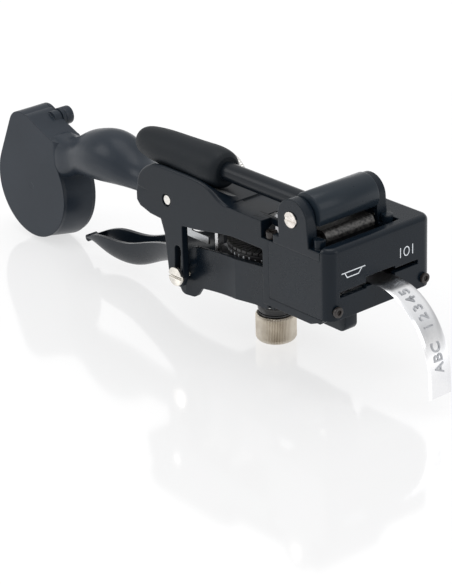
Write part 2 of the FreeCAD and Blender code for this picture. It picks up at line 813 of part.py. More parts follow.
def make_lever_shaft():
    """Shaft of the cutter lever, with a slotted head at each end."""
    stem = rod("shaft_stem", "Y", "shaft_radius", ("-body_half", "far_ear_y + ear_thick"),
               ("hinge_x", "hinge_z"))
    near = slotted_head("shaft_head_near", 3.3, (-28.7, -28.0), (-30, -28.3),
                        ("hinge_x", "hinge_z"))
    far = slotted_head("shaft_head_far", 3.3, (14.5, 15.2), (14.8, 20), ("hinge_x", "hinge_z"))
    return fuse("lever_shaft_solid", stem, near, far)


def make_lens():
    """Clear lens over the opening that shows the chosen character."""
    return box("lens_pane", (-42.5, -36.5), (-21.3, -16.7), (18.6, 21.0))


def make_tape(name, route):
    """A flat strip of the tape's section that follows a route seen from the side."""
    half = size("tape_thick") / 2
    upper = []
    lower = []
    for i, point in enumerate(route):
        before = route[max(i - 1, 0)]
        after = route[min(i + 1, len(route) - 1)]
        along = Vector(after[0] - before[0], after[1] - before[1], 0).normalize()
        out = Vector(-along.y, along.x, 0) * half
        here = Vector(point[0], point[1], 0)
        upper.append((here + out)[:2])
        lower.append((here - out)[:2])
    return side_prism(name, upper + lower[::-1], ("-tape_width / 2", "tape_width / 2"))


def make_strip():
    """The embossed strip: out of the nose, then curling down in front of it."""
    def spot(angle):
        turn = math.radians(angle)
        return 3.0 + 29.0 * math.sin(turn), -33.0 * (1 - math.cos(turn))

    curl = [spot(angle) for angle in range(0, 91, 6)]
    return make_tape("strip_solid", [(-11.0, 0.0)] + curl + [(32.4, -39.6)])


# ---------------------------------------------------------------- squeeze lever

def make_squeeze_lever():
    """Pressed lever: an upturned channel for a jaw, and a dished trigger behind the straps."""
    walls = []
    for name, low, high in (
        ("near", "-jaw_outer", "-jaw_inner"),
        ("far", "jaw_inner", "jaw_outer"),
    ):
        walls.append(
            side_prism(
                f"jaw_wall_{name}",
                [
                    (-40.2, -1.2, 2.0),
                    (-88.0, -6.4, 3.0),
                    (-97.4, -13.5, 5.0),
                    (-97.0, -29.4, 3.4),
                    (-88.0, -29.2, 3.4),
                    (-84.4, -24.1, 3.0),
                    (-50.0, -19.8, 8.0),
                    (-43.0, -19.8),
                    (-40.2, -13.0, 3.0),
                ],
                (low, high),
            )
        )
    floor = side_prism(
        "jaw_floor",
        [(-98.0, -24.6), (-84.0, -24.1, 4.0), (-50.0, -19.8), (-40.4, -19.8), (-40.4, -17.4),
         (-50.0, -17.4), (-84.0, -21.7, 4.0), (-98.0, -22.2)],
        ("1.7 - jaw_outer", "jaw_outer - 1.7"),
    )
    tongue = box("jaw_tongue", (-42.0, -31.6), (-9.6, 9.6), (-19.8, -17.4))
    lugs = group(
        "jaw_lugs",
        *(side_prism(f"jaw_lug_{name}", [(-35.0, -19.8), (-35.0, -17.4), (-27.0, -14.9, 3.4),
                                         (-22.4, -15.2, 3.0), (-22.4, -22.0, 3.0),
                                         (-29.0, -22.1, 3.0)], span)
          for name, span in (("near", (-8.0, -3.7)), ("far", (3.7, 8.0))))
    )
    stations = [
        (-92.0, -24.6, -13.0, 21.7),
        (-104.0, -26.0, -14.6, 18.0),
        (-118.0, -29.0, -17.6, 11.6),
        (-133.0, -32.8, -22.2, 8.4),
        (-144.0, -37.8, -26.2, 7.4),
        (-152.0, -40.8, -28.8, 7.2),
        (-162.0, -42.2, -30.4, 7.2),
        (-172.0, -41.2, -31.4, 6.8),
        (-180.0, -38.9, -33.8, 5.4),
        (-186.4, -38.6, -36.8, 3.4),
    ]
    skin = 1.9
    outer = Part.makeLoft([trough_section(*s) for s in stations], True, False)
    dish = [(-88.0, -24.4, -12.0, 24.0)] + stations[1:-1]
    inner = Part.makeLoft(
        [trough_section(x, low + skin, rim + 1.5, half - skin) for x, low, rim, half in dish],
        True, False,
    )
    trigger = shaped("trigger_dish", outer.cut(inner))
    lip = rod("trigger_lip", "Y", 1.6, (-2.6, 2.6), (-186.4, -37.7))
    dish_near = rod("jaw_dish_near", "Z", 90.0, (-40.0, 5.0), (-77.5, "-jaw_outer - 88.6"))
    dish_far = rod("jaw_dish_far", "Z", 90.0, (-40.0, 5.0), (-77.5, "jaw_outer + 88.6"))
    dished = cut("jaw_walls_dished", fuse("jaw_walls", walls[0], walls[1]), dish_near, dish_far)
    whole = fuse("lever_whole", dished, floor, tongue, lugs, trigger, lip)
    eye = rod("lever_eye", "Y", "jaw_pin_radius + running_gap", (-30, 30),
              ("jaw_pivot_x", "jaw_pivot_z"))
    sleeve_slot = box("lever_sleeve_slot", (-70.4, -55.6), (-6.8, 6.8), (-40, -10))
    screw_bores = rod("lever_screw_bore", "Y", "strap_thread", (-30, 30),
                      ("strap_screw_x", "strap_screw_z"))
    return cut("squeeze_lever_solid", whole, eye, sleeve_slot, screw_bores)


def make_strap_screws():
    """Two slotted shoulder screws whose shanks ride in the slots of the straps."""
    screws = []
    for name, sign in (("near", -1), ("far", 1)):
        spans = {
            "thread": sorted((sign * 19.6, sign * 22.9)),
            "shank": sorted((sign * 22.9, sign * 28.5)),
            "head": sorted((sign * 28.4, sign * 30.0)),
            "slot": sorted((sign * 29.4, sign * 32.0)),
        }
        spot = ("strap_screw_x", "strap_screw_z")
        thread = rod(f"strap_thread_{name}", "Y", "strap_thread", spans["thread"], spot)
        shank = rod(f"strap_shank_{name}", "Y", "strap_shank", spans["shank"], spot)
        head = slotted_head(f"strap_head_{name}", 4.1, spans["head"], spans["slot"], spot)
        screws.append(fuse(f"strap_screw_{name}", thread, shank, head))
    return group("strap_screws_pair", *screws)


def make_striker():
    """Hardened post on the jaw that pushes the wheel's finger up against the tape."""
    post = box("striker_post", (-49.8, -43.6), (-4.5, 4.5), (-17.4, -8.6))
    tip = box("striker_tip", (-48.6, -44.8), (-3.6, 3.6), (-8.6, -7.8))
    return fuse("striker_solid", post, tip)


def make_pawl():
    """Spring-steel pawl on the lever that draws the feed wheel round."""
    return side_prism(
        "pawl_solid",
        [(-84.0, -21.6), (-87.6, -22.1), (-87.6, 3.6), (-92.0, 7.9), (-91.2, 9.0), (-85.8, 4.6),
         (-85.8, -20.0), (-84.0, -19.8)],
        (-11.0, -7.8),
    )


# ---------------------------------------------------------------- build

def build_nodes():
    """Make every piece and stand it on the datum."""
    node("main_frame", make_main_frame())
    node("front_cover", make_front_cover())
    node("ear_bracket", make_ear_bracket())
    node("handle_casting", make_handle())
    node("foot_block", cut(
        "foot_solid",
        side_prism("foot_plate", [(-31.0, -14.0), (-31.0, -28.4, 1.0), (-17.5, -28.4, 3.4),
                                  (-17.5, -14.0)], (-3.3, 3.3)),
        rod("foot_bore", "Y", "jaw_pin_radius", (-5, 5), ("jaw_pivot_x", "jaw_pivot_z"))))
    node("die_plate", make_die_plate())
    node("stripper_plate", make_stripper_plate())
    node("wheel_bridge", make_wheel_bridge())
    node("upper_anvil", make_upper_anvil())
    node("tape_guide", make_tape_guide())
    node("jaw_pivot_pin", rod("jaw_pin", "Y", "jaw_pin_radius", (-8.4, 8.4),
                              ("jaw_pivot_x", "jaw_pivot_z")))
    node("feed_cross_pin", rod("cross_pin", "Y", "feed_pin_radius",
                               ("-body_half + 0.3", "pin_far_y"), ("feed_x", "feed_z")))
    node("lever_shaft", make_lever_shaft())
    node("ear_set_pin", rod("set_pin", "Y", 0.6, (9.3, 12.5), (-14.6, 20.4)))
    node("cover_screws", group("cover_screw_pair", *(
        socket_screw(f"cover_screw_{i}", "X", 2.2, (0.0, 1.5), 1.5, (-10.0, 0.0), (y, "screw_z"),
                     (0.4, 3))
        for i, y in enumerate(("screw_near_y", "screw_far_y")))))
    node("corner_screws", group("corner_screw_pair", *(
        socket_screw(f"corner_screw_{i}", "Z", 2.4, (14.2, 17.2), 1.5, (6.0, 14.2), (-36.0, y),
                     (15.6, 20))
        for i, y in enumerate((-25.2, 25.2)))))
    node("handle_screws", group("handle_screw_pair", *(
        fuse(f"handle_screw_{i}",
             rod(f"handle_screw_head_{i}", "X", 2.6, (-111.2, -108.8), (y, 5.0)),
             rod(f"handle_screw_stem_{i}", "X", 1.5, (-120.0, -111.0), (y, 5.0)))
        for i, y in enumerate((-10.4, 10.4)))))
    node("window_lens", make_lens())
    node("reel_spindle", fuse(
        "spindle_solid",
        rod("spindle_post", "Y", "spindle_radius", ("cup_near_y + cup_wall", 6.2),
            ("reel_x", "reel_z")),
        rod("spindle_stud", "Y", 1.5, ("cup_near_y + 0.3", "cup_near_y + cup_wall"),
            ("reel_x", "reel_z"))))
    node("tape_supply", make_tape("supply_solid", [(-219.2, -1.85), (-212.0, -1.5),
                                                   (-203.0, -0.4), (-196.0, 0.0), (-13.4, 0.0)]))
    node("embossed_strip", make_strip())

    node("squeeze_lever", make_squeeze_lever())
    node("strap_screws", make_strap_screws())
    node("emboss_striker", make_striker())
    node("feed_pawl", make_pawl())
    node("lever_spring", cut(
        "spring_tube", rod("spring_outer", "Z", 3.9, (-20.2, -7.7), (-76.0, 0)),
        rod("spring_inner", "Z", 2.9, (-22, -5), (-76.0, 0))))

    node("character_wheel", cut(
        "wheel_solid",
        fuse("wheel_whole",
             rod("wheel_disc", "Z", "wheel_radius", ("wheel_bottom", "wheel_top"), ("wheel_x", 0)),
             rod("wheel_boss", "Z", 7.0, (-6.2, -4.6), ("wheel_x", 0))),
        rod("wheel_bore", "Z", "axle_radius", (-10, -1.6), ("wheel_x", 0))))
    node("wheel_axle", rod("axle_solid", "Z", "axle_radius", (-37.0, -1.6), ("wheel_x", 0)))
    node("knob_collar", cut(
        "collar_solid", rod("collar_outer", "Z", 7.6, (-34.5, -30.3), ("wheel_x", 0)),
        rod("collar_bore", "Z", "axle_radius", (-40, -20), ("wheel_x", 0))))
    node("selector_knob", cut(
        "knob_solid",
        fuse("knob_whole",
             rod("knob_body", "Z", "knob_radius", ("1.6 - datum_z", "knob_height - datum_z"),
                 ("wheel_x", 0)),
             cone("knob_foot", "Z", ("knob_radius - 1.4", "knob_radius"),
                  ("-datum_z", "1.6 - datum_z"), ("wheel_x", 0))),
        rod("knob_bore", "Z", "axle_radius", (-37.0, -30), ("wheel_x", 0))))

    node("feed_wheel", cut(
        "feed_solid", rod("feed_disc", "Y", "feed_radius", ("-feed_half", "feed_half"),
                          ("feed_x", "feed_z")),
        rod("feed_bore", "Y", "feed_pin_radius + running_gap", (-20, 20), ("feed_x", "feed_z"))))
    node("feed_ratchet", make_ratchet())

    node("lever_hub", make_hub())
    node("lever_rod", make_lever_rod())
    node("lever_grip", make_grip())

    node("ram_crown", round_edges(
        "crown_solid", box("crown_block", (-24.0, -10.6), ("ram_near_y", "ram_far_y"),
                           (18.0, "ram_top")),
        3.2, lambda edge: runs_along(edge, Vector(0, 1, 0))
        and edge.CenterOfMass.z > size("ram_top") - 0.1))
    node("cutter_block", fuse(
        "block_solid",
        box("block_neck", (-23.4, -11.0), ("ram_near_y", "ram_far_y"), (12.6, 18.0)),
        box("block_wings", (-24.6, -11.0), (-19.5, 18.2), (12.6, 14.0))))
    node("cutter_blade", side_prism(
        "blade_solid", [(-12.8, 12.6), (-12.8, 1.0), (-11.6, 0.4), (-11.6, 12.6)], (-6.7, 6.7)))
    node("tab_former", box("former_solid", (-18.0, -11.0), (-18.4, -9.6), (1.6, 12.6)))
    node("hole_punch", rod("punch_solid", "Z", 1.6, (3.0, 12.6), (-14.0, 13.6)))
    node("ram_springs", group("ram_spring_pair", *(
        cut(f"ram_spring_{i}", rod(f"ram_spring_outer_{i}", "Z", 2.6, (-8.5, 12.5), (-21.8, y)),
            rod(f"ram_spring_inner_{i}", "Z", 1.8, (-10, 14), (-21.8, y)))
        for i, y in enumerate((-15.4, 15.4)))))

    node("reel_core", make_reel_core())
    node("tape_coil", cut(
        "coil_solid", rod("coil_outer", "Y", "reel_radius", ("-tape_width / 2", "tape_width / 2"),
                          ("reel_x", "reel_z")),
        rod("coil_bore", "Y", 9.0, (-10, 10), ("reel_x", "reel_z"))))

    node("magazine_lid", make_lid())
    node("lid_knuckle", fuse(
        "knuckle_solid",
        rod("knuckle_head", "Y", "knuckle_radius", ("cup_far_y + 0.2 + lid_thick", 12.8),
            ("knuckle_x", "knuckle_z")),
        rod("knuckle_stem", "Y", "1.5 - running_gap", (3.0, "cup_far_y + 0.2 + lid_thick"),
            ("knuckle_x", "knuckle_z"))))


def make_ratchet():
    """Ratchet on the side of the feed wheel, worked by the pawl."""
    teeth = 16
    points = []
    for tooth in range(teeth):
        start = 2 * math.pi * tooth / teeth
        for radius, angle in ((7.0, start), (5.8, start + 0.02)):
            points.append(
                (size("feed_x") + radius * math.cos(angle), size("feed_z") + radius * math.sin(angle))
            )
    return cut(
        "ratchet_solid", side_prism("ratchet_teeth", points, ("-feed_half - 3", "-feed_half")),
        rod("ratchet_bore", "Y", "feed_pin_radius + running_gap", (-20, 20),
            ("feed_x", "feed_z")))


def make_hub():
    """Eccentric hub of the cutter lever, flat below so that it clears the ram at rest."""
    drum = rod("hub_drum", "Y", "hub_radius", (-22.6, "far_ear_y - 0.4"), ("hub_x", "hub_z"))
    flat = box("hub_flat", (-45, 5), (-30, 30), (0, "hub_z - 4.4"))
    bore = rod("hub_bore", "Y", "shaft_radius + running_gap", (-30, 30), ("hinge_x", "hinge_z"))
    socket = rod("hub_socket", "X", "rod_radius", (-40, "hub_x"), ("rod_y", "rod_z"))
    return cut("hub_solid", drum, flat, bore, socket)


def make_lever_rod():
    """Straight round rod from the hub to the grip."""
    bar = rod("rod_bar", "X", "rod_radius", ("rod_rear_x", "hub_x"), ("rod_y", "rod_z"))
    bore = rod("rod_bore", "Y", "shaft_radius + running_gap", (-30, 30), ("hinge_x", "hinge_z"))
    return cut("rod_solid", bar, bore)


def make_grip():
    """Tapered rubber sleeve with a round rear end."""
    middle = Vector(0, size("rod_y"), size("rod_z"))
    front = size("grip_front_x")
    rear = size("grip_rear_x")
    outline = [
        Vector(front, 5.8, 0), Vector(front - 0.9, 7.2, 0), Vector(front - 3.6, 8.2, 0),
        Vector(front - 14, 8.4, 0), Vector(front - 31, 7.8, 0), Vector(rear + 8, 6.7, 0),
        Vector(rear + 1.8, 4.6, 0), Vector(rear, 0, 0),
    ]
    curve = Part.BSplineCurve()
    curve.interpolate(outline)
    edges = [
        Part.LineSegment(Vector(front, 0, 0), outline[0]).toShape(),
        curve.toShape(),
        Part.LineSegment(outline[-1], Vector(front, 0, 0)).toShape(),
    ]
    face = Part.Face(Part.Wire(edges))
    turned = face.revolve(Vector(), Vector(1, 0, 0), 360)
    turned.translate(middle)
    bore = rod("grip_bore", "X", "rod_radius", ("rod_rear_x", -60), ("rod_y", "rod_z"))
    return cut("grip_solid", shaped("grip_turned", turned), bore)


def make_reel_core():
    """Moulded reel: a tube on the spindle with a thin flange beside the wound tape."""
    spot = ("reel_x", "reel_z")
    tube = rod("core_tube", "Y", 9.0, (-6.7, 6.2), spot)
    near = rod("core_flange_near", "Y", "reel_radius + 1.2", (-6.7, -6.05), spot)
    bore = rod("core_bore", "Y", "spindle_radius + running_gap", (-20, 20), spot)
    return cut("core_solid", fuse("core_whole", tube, near), bore)


def make_lid():
    """Drop-shaped side lid of the magazine, with a thumb tab and its pivot bore."""
    plate = drop_prism("lid_plate", size("cup_rim_radius") - 0.5, size("boss_radius"),
                       ("cup_far_y + 0.2", "cup_far_y + 0.2 + lid_thick"))
    lug = rod("lid_lug", "Y", "knuckle_radius", ("cup_far_y + 0.2", "cup_far_y + 0.2 + lid_thick"),
              ("knuckle_x", "knuckle_z"))
    tab = box("lid_tab", (-245.4, -240.6), (6.7, 9.8), (-24.0, -14.0))
    pivot_bore = rod("lid_bore", "Y", 1.5, (0, 20), ("knuckle_x", "knuckle_z"))
    return cut("lid_solid", fuse("lid_whole", plate, lug, tab), pivot_bore)


build_nodes()
doc.recompute()

failed = [o.Label for o in doc.Objects if {"Invalid", "Error"} & set(o.State)]
if failed:
    raise RuntimeError("objects that failed: " + ", ".join(failed))
for piece in NODES:
    if piece.Shape.isNull() or not piece.Shape.isValid():
        raise RuntimeError("not a valid shape: " + piece.Label)
    if not piece.Shape.Solids:
        raise RuntimeError("no solid in: " + piece.Label)

os.makedirs("parts", exist_ok=True)
for piece in NODES:
    piece.Shape.exportStep(f"parts/{piece.Label}.step")
whole = Part.makeCompound([piece.Shape for piece in NODES]).BoundBox
print(len(NODES), "nodes; box", [round(v, 2) for v in (
    whole.XMin, whole.XMax, whole.YMin, whole.YMax, whole.ZMin, whole.ZMax)])
for piece in NODES:
    print(f"{piece.Label:18s} solids {len(piece.Shape.Solids)} volume {piece.Shape.Volume:10.1f}")
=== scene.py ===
"""Looks for the hand-held embossing label maker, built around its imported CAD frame.

Lengths in the tables are millimetres from the datum, the point where the tape leaves the nose:
x forward, y to the user's left, z up.  spot() turns them into the row frame in metres.
"""
import json
import math

import bmesh
import bpy
from mathutils import Matrix, Vector


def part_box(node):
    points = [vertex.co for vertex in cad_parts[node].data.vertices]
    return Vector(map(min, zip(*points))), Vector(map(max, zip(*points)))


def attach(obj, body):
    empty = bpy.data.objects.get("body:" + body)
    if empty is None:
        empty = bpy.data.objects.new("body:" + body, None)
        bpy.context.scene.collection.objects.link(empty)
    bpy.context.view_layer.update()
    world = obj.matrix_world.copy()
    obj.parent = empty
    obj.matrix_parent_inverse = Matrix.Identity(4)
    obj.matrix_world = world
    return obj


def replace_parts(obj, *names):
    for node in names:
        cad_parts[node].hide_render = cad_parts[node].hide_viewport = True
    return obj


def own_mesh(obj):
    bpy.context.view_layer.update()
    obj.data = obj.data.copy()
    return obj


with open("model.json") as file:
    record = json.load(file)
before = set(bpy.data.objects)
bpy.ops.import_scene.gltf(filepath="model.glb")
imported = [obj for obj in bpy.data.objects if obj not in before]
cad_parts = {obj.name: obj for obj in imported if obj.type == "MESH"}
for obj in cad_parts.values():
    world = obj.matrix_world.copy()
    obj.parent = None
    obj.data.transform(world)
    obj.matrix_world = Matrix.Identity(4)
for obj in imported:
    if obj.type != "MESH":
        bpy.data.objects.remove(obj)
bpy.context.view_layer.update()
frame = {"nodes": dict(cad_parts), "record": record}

MM = 0.001
NODES = frame["nodes"]
HALF_TAPE = 0.125
DATUM = Vector((
    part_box("front_cover")[1].x,
    0.0,
    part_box("tape_supply")[1].z - HALF_TAPE * MM,
))


def spot(x, y, z):
    """A point given in millimetres from the datum, in the row frame."""
    return DATUM + Vector((x, y, z)) * MM


# ---------------------------------------------------------------- materials

def noise_nodes(tree, scale, stretch=(1, 1, 1), detail=3.0, rough=0.5):
    """Noise over the object's own coordinates; returns the noise node."""
    where = tree.nodes.new("ShaderNodeTexCoord")
    turn = tree.nodes.new("ShaderNodeMapping")
    turn.inputs["Scale"].default_value = stretch
    grain = tree.nodes.new("ShaderNodeTexNoise")
    grain.inputs["Scale"].default_value = scale
    grain.inputs["Detail"].default_value = detail
    grain.inputs["Roughness"].default_value = rough
    tree.links.new(where.outputs["Object"], turn.inputs["Vector"])
    tree.links.new(turn.outputs["Vector"], grain.inputs["Vector"])
    return grain


def ranged(tree, source, low, high, start=0.3, end=0.7):
    """A number that follows a noise between two limits."""
    step = tree.nodes.new("ShaderNodeMapRange")
    step.inputs["From Min"].default_value = start
    step.inputs["From Max"].default_value = end
    step.inputs["To Min"].default_value = low
    step.inputs["To Max"].default_value = high
    tree.links.new(source, step.inputs["Value"])
    return step.outputs["Result"]


def blended(tree, source, first, second, start=0.35, end=0.65):
    """A colour that follows a noise between two colours."""
    ramp = tree.nodes.new("ShaderNodeValToRGB")
    ramp.color_ramp.elements[0].position = start
    ramp.color_ramp.elements[0].color = (*first, 1)
    ramp.color_ramp.elements[1].position = end
    ramp.color_ramp.elements[1].color = (*second, 1)
    tree.links.new(source, ramp.inputs["Fac"])
    return ramp.outputs["Color"]


def material(name, first, second, rough, metallic=0.0, patch=40.0, grain=700.0, relief=0.1,
             depth=0.05, stretch=(1, 1, 1), grain_stretch=(1, 1, 1), sockets=None, edge=0.0):
    """A surface with drifting colour and gloss and a fine relief, all from noise.

    first and second are the colours it drifts between, rough the two roughness limits,
    patch and grain the scales of the drift and the relief, depth the relief in mm, and edge
    the radius in mm that the light finds on the piece's edges.
    """
    made = bpy.data.materials.new(name)
    made.use_nodes = True
    tree = made.node_tree
    shader = tree.nodes["Principled BSDF"]
    shader.inputs["Metallic"].default_value = metallic
    for socket, value in (sockets or {}).items():
        shader.inputs[socket].default_value = value
    drift = noise_nodes(tree, patch, stretch)
    fine = noise_nodes(tree, grain, grain_stretch, detail=2.0)
    tree.links.new(blended(tree, drift.outputs["Fac"], first, second),
                   shader.inputs["Base Color"])
    mixed = tree.nodes.new("ShaderNodeMath")
    mixed.operation = "MULTIPLY_ADD"
    mixed.inputs[1].default_value = 0.35
    tree.links.new(fine.outputs["Fac"], mixed.inputs[0])
    scaled = tree.nodes.new("ShaderNodeMath")
    scaled.operation = "MULTIPLY"
    scaled.inputs[1].default_value = 0.65
    tree.links.new(drift.outputs["Fac"], scaled.inputs[0])
    tree.links.new(scaled.outputs["Value"], mixed.inputs[2])
    tree.links.new(ranged(tree, mixed.outputs["Value"], *rough), shader.inputs["Roughness"])
    bump = tree.nodes.new("ShaderNodeBump")
    bump.inputs["Strength"].default_value = relief
    bump.inputs["Distance"].default_value = depth * MM
    tree.links.new(fine.outputs["Fac"], bump.inputs["Height"])
    tree.links.new(bump.outputs["Normal"], shader.inputs["Normal"])
    if edge:
        worn = tree.nodes.new("ShaderNodeBevel")
        worn.samples = 8
        worn.inputs["Radius"].default_value = edge * MM
        tree.links.new(worn.outputs["Normal"], bump.inputs["Normal"])
    return made


ENAMEL_A = (0.0028, 0.0060, 0.0105)
ENAMEL_B = (0.0042, 0.0082, 0.0135)
# The handle colours are the enamel made lighter: painted light standing for the stronger light
# from the left on the handle and drum.
HANDLE_PAINTED_LIGHT_A = (0.0135, 0.0190, 0.0270)
HANDLE_PAINTED_LIGHT_B = (0.0170, 0.0230, 0.0320)
PAINT = {"Specular IOR Level": 0.2, "Coat Weight": 0.02, "Coat Roughness": 0.15}

LOOKS = {
    "housing_enamel": material("housing_enamel", ENAMEL_A, ENAMEL_B, (0.27, 0.36),
                               grain=420, relief=0.22, depth=0.06, sockets=PAINT, edge=0.6),
    "cover_enamel": material("cover_enamel", ENAMEL_A, ENAMEL_B, (0.22, 0.30),
                             grain=380, relief=0.18, depth=0.05, sockets=PAINT, edge=0.45),
    "bracket_enamel": material("bracket_enamel", ENAMEL_A, ENAMEL_B, (0.20, 0.28),
                               grain=380, relief=0.2, depth=0.05, sockets=PAINT, edge=0.9),
    # painted light: the handle's enamel is lighter to stand for the light from the left
    "handle_enamel": material("handle_enamel", HANDLE_PAINTED_LIGHT_A, HANDLE_PAINTED_LIGHT_B, (0.28, 0.38),
                              grain=400, relief=0.25, depth=0.07, sockets=PAINT, edge=0.7),
    "foot_enamel": material("foot_enamel", ENAMEL_A, ENAMEL_B, (0.24, 0.32),
                            relief=0.2, sockets=PAINT),
    "lever_enamel": material("lever_enamel", ENAMEL_A, ENAMEL_B, (0.24, 0.34),
                             grain=400, relief=0.2, depth=0.06, sockets=PAINT, edge=0.35),
    # painted light: the lid on the drum shares the handle's lighter enamel
    "lid_enamel": material("lid_enamel", HANDLE_PAINTED_LIGHT_A, HANDLE_PAINTED_LIGHT_B, (0.26, 0.36),
                           grain=400, relief=0.2, sockets=PAINT, edge=0.4),
    "hub_enamel": material("hub_enamel", (0.008, 0.013, 0.019), (0.011, 0.017, 0.024),
                           (0.24, 0.32), grain=500, relief=0.12, sockets=PAINT),
    "rod_steel": material("rod_dark", (0.004, 0.006, 0.009), (0.006, 0.009, 0.013),
                          (0.25, 0.33), grain=300, relief=0.15,
                          grain_stretch=(0.08, 1, 1), sockets=PAINT),
    "tool_steel": material("tool_steel", (0.33, 0.33, 0.34), (0.44, 0.44, 0.45), (0.24, 0.40),
                           1.0, grain=500, relief=0.3, grain_stretch=(1, 0.05, 1)),
    "plate_steel": material("plate_steel", (0.40, 0.41, 0.42), (0.55, 0.55, 0.56),
                            (0.28, 0.42), 1.0, grain=600, relief=0.3,
                            grain_stretch=(1, 0.08, 1)),
    "pin_steel": material("pin_steel", (0.62, 0.60, 0.57), (0.72, 0.70, 0.66), (0.18, 0.30),
                          1.0, grain=900, relief=0.2),
    "shaft_nickel": material("shaft_nickel", (0.62, 0.58, 0.54), (0.80, 0.76, 0.71),
                             (0.22, 0.36), 1.0, patch=500, grain=1200, relief=0.5),
    "screw_black": material("screw_black", (0.018, 0.015, 0.014), (0.034, 0.028, 0.026),
                            (0.26, 0.38), 0.3, patch=300, grain=900, relief=0.3),
    "screw_nickel": material("screw_nickel", (0.66, 0.63, 0.58), (0.80, 0.77, 0.71),
                             (0.16, 0.30), 1.0, patch=300, grain=900, relief=0.25,
                             grain_stretch=(0.1, 1, 1)),
    "tape_metal": material("tape_metal", (0.78, 0.79, 0.81), (0.86, 0.86, 0.87),
                           (0.16, 0.26), 1.0, patch=60, grain=900, relief=0.12,
                           grain_stretch=(0.03, 1, 0.03)),
    "spring_steel": material("spring_steel", (0.50, 0.50, 0.51), (0.64, 0.64, 0.64),
                             (0.2, 0.34), 1.0, grain=900, relief=0.2),
    "wheel_black": material("wheel_black", (0.008, 0.008, 0.009), (0.014, 0.014, 0.015),
                            (0.3, 0.42), relief=0.15),
    "collar_black": material("collar_black", (0.006, 0.006, 0.007), (0.011, 0.011, 0.012),
                             (0.12, 0.2), relief=0.08),
    "knob_nickel": material("knob_nickel", (0.52, 0.47, 0.40), (0.66, 0.61, 0.53),
                            (0.26, 0.40), 1.0, patch=220, grain=1400, relief=0.35),
    "feed_nickel": material("feed_nickel", (0.62, 0.61, 0.59), (0.76, 0.75, 0.73),
                            (0.22, 0.36), 1.0, patch=220, grain=1400, relief=0.3),
    "grip_rubber": material("grip_rubber", (0.0035, 0.0058, 0.0085), (0.0050, 0.0078, 0.0110),
                            (0.46, 0.60), patch=60, grain=1800, relief=0.5, depth=0.06,
                            sockets={"Specular IOR Level": 0.22}),
    "ram_bronze": material("ram_bronze", (0.045, 0.045, 0.046), (0.135, 0.132, 0.128),
                           (0.36, 0.52), 0.9, patch=900, grain=1700, relief=0.9, depth=0.08),
    "block_steel": material("block_steel", (0.008, 0.009, 0.010), (0.016, 0.017, 0.019),
                            (0.34, 0.5), 0.6, patch=500, grain=1000, relief=0.4),
    "reel_plastic": material("reel_plastic", (0.50, 0.49, 0.46), (0.58, 0.57, 0.54),
                             (0.38, 0.5), relief=0.15),
}
WHITE_MARK = material("white_mark", (0.62, 0.66, 0.70), (0.74, 0.77, 0.80), (0.4, 0.55),
                      patch=900, grain=1500, relief=0.3, depth=0.02)
ENGRAVED = material("engraved_dark", (0.002, 0.002, 0.003), (0.004, 0.004, 0.005), (0.6, 0.8),
                    patch=900, relief=0.2)
# Darker than the tape's metal: painted shade on the raised letters, which are pressed from the
# same metal as the tape.
LETTER_METAL_PAINTED_SHADE = material("letter_metal_painted_shade", (0.36, 0.37, 0.39), (0.46, 0.47, 0.49), (0.30, 0.42),
                         1.0, patch=200, grain=900, relief=0.2)
RING_NICKEL = material("ring_nickel", (0.74, 0.72, 0.69), (0.84, 0.82, 0.79), (0.14, 0.24),
                       1.0, grain=900, relief=0.15)


def clear_lens():
    """Clear plastic for the reading window, very slightly scuffed."""
    made = material("lens_clear", (0.90, 0.93, 0.94), (0.96, 0.97, 0.98), (0.03, 0.10),
                    patch=200, grain=900, relief=0.05, sockets={"IOR": 1.49})
    made.node_tree.nodes["Principled BSDF"].inputs["Transmission Weight"].default_value = 1.0
    return made


LOOKS["lens_clear"] = clear_lens()

SLOT_OF = {part["node"]: part["material_slot"] for part in frame["record"]["subparts"]}
BODY_OF = {
    node: body
    for body, members in frame["record"]["behaviour"]["bodies"].items()
    for node in members
}

for node_name, cad in NODES.items():
    look = LOOKS[SLOT_OF[node_name]]
    for slot in cad.material_slots:
        slot.material = look


# ---------------------------------------------------------------- mesh helpers

def add_mesh(name, verts, faces, look, body, smooth=35):
    """A new mesh piece that rides on a body; verts are in the row frame, in metres."""
    mesh = bpy.data.meshes.new(name)
    mesh.from_pydata([tuple(v) for v in verts], [], faces)
    mesh.validate()
    return add_made(name, mesh, look, body, smooth)


def add_made(name, mesh, look, body, smooth=35):
    """Link a finished mesh as a piece of the object."""
    mesh.materials.clear()
    mesh.materials.append(look)
    mesh.shade_smooth()
    mesh.set_sharp_from_angle(angle=math.radians(smooth))
    obj = bpy.data.objects.new(name, mesh)
    bpy.context.scene.collection.objects.link(obj)
    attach(obj, body)
    return obj


def softened(node_name, width, segments=2, angle=32, smooth=30):
    """The CAD piece with its sharp edges rounded, shown in its place."""
    cad = NODES[node_name]
    mesh = cad.data.copy()
    mesh.name = node_name + "_soft"
    work = bmesh.new()
    work.from_mesh(mesh)
    bmesh.ops.remove_doubles(work, verts=work.verts, dist=2e-6)
    bmesh.ops.dissolve_limit(
        work,
        angle_limit=math.radians(0.4),
        verts=work.verts,
        edges=work.edges,
        use_dissolve_boundaries=False,
        delimit={"NORMAL"},
    )
    work.to_mesh(mesh)
    work.free()
    obj = bpy.data.objects.new(node_name + "_soft", mesh)
    bpy.context.scene.collection.objects.link(obj)
    bevel = obj.modifiers.new("edges", "BEVEL")
    bevel.width = width * MM
    bevel.segments = segments
    bevel.limit_method = "ANGLE"
    bevel.angle_limit = math.radians(angle)
    bevel.use_clamp_overlap = False
    bevel.miter_outer = "MITER_ARC"
    evaluated = obj.evaluated_get(bpy.context.evaluated_depsgraph_get())
    rounded = bpy.data.meshes.new_from_object(evaluated)
    rounded.name = node_name + "_rounded"
    bpy.data.objects.remove(obj)
    piece = add_made(node_name + "_rounded", rounded, LOOKS[SLOT_OF[node_name]],
                     BODY_OF[node_name], smooth)
    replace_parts(piece, node_name)
    return piece


